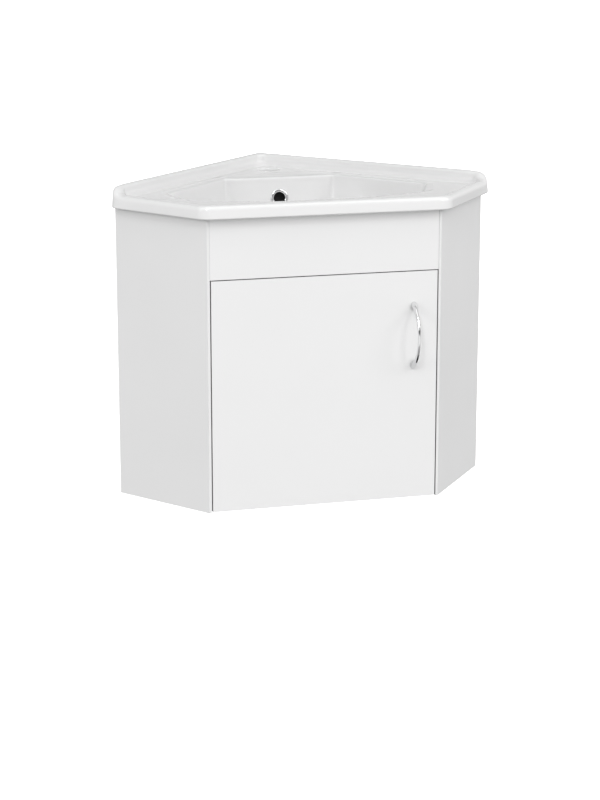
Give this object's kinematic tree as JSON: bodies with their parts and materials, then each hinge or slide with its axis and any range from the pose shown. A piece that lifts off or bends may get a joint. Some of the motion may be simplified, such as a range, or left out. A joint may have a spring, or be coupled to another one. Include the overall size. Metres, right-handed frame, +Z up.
{
  "type": "corner vanity unit",
  "caption": "Wall-hung five-sided corner cabinet with an inset hinged door, a bow handle and a one-piece moulded basin with an upstand along both walls.",
  "frame": {"origin": "the line where the two room walls meet, level with the underside of the cabinet", "axes": "+Z up; the door faces -Y; +X to the right of a person in front of the unit; the walls run along (-1,-1) and (1,-1)"},
  "size_m": [0.6224, 0.4838, 0.505],
  "materials": {
    "white_board": "white melamine on 16 mm board, satin",
    "white_lacquer": "white satin lacquer on 16 mm board",
    "bare_wood": "bare planed softwood",
    "white_glaze": "gloss white glaze, one moulded piece",
    "bright_chrome": "bright chrome plating on a zinc casting",
    "nickel_steel": "nickel-plated pressed steel",
    "zinc_steel": "zinc-plated steel screw",
    "clear_bumper": "milky soft plastic"
  },
  "bodies": {
    "cabinet": {"left_return_panel": "white_board", "right_return_panel": "white_board", "bottom_panel": "white_board", "corner_post": "bare_wood", "left_wall_rail": "white_board", "right_wall_rail": "white_board", "front_rail": "white_board", "apron_panel": "white_lacquer", "left_apron_block": "bare_wood", "right_apron_block": "bare_wood", "apron_screws": "zinc_steel", "basin": "white_glaze", "overflow_ring": "bright_chrome", "lower_hinge_arm": "nickel_steel", "upper_hinge_arm": "nickel_steel", "lower_hinge_plate": "nickel_steel", "upper_hinge_plate": "nickel_steel", "plate_screws": "zinc_steel"},
    "door": {"door": "white_lacquer", "door_buffers": "clear_bumper", "handle": "bright_chrome", "handle_screws": "zinc_steel", "lower_hinge_cup": "nickel_steel", "upper_hinge_cup": "nickel_steel", "lower_hinge_pin": "nickel_steel", "upper_hinge_pin": "nickel_steel", "cup_screws": "zinc_steel"}
  },
  "joints": [
    {"name": "door_swing", "type": "hinge", "parent": "cabinet", "child": "door", "pos_m": [-0.1705, -0.4438, 0.185], "axis": [0, 0, 1], "range_deg": [-95, 0]}
  ]
}
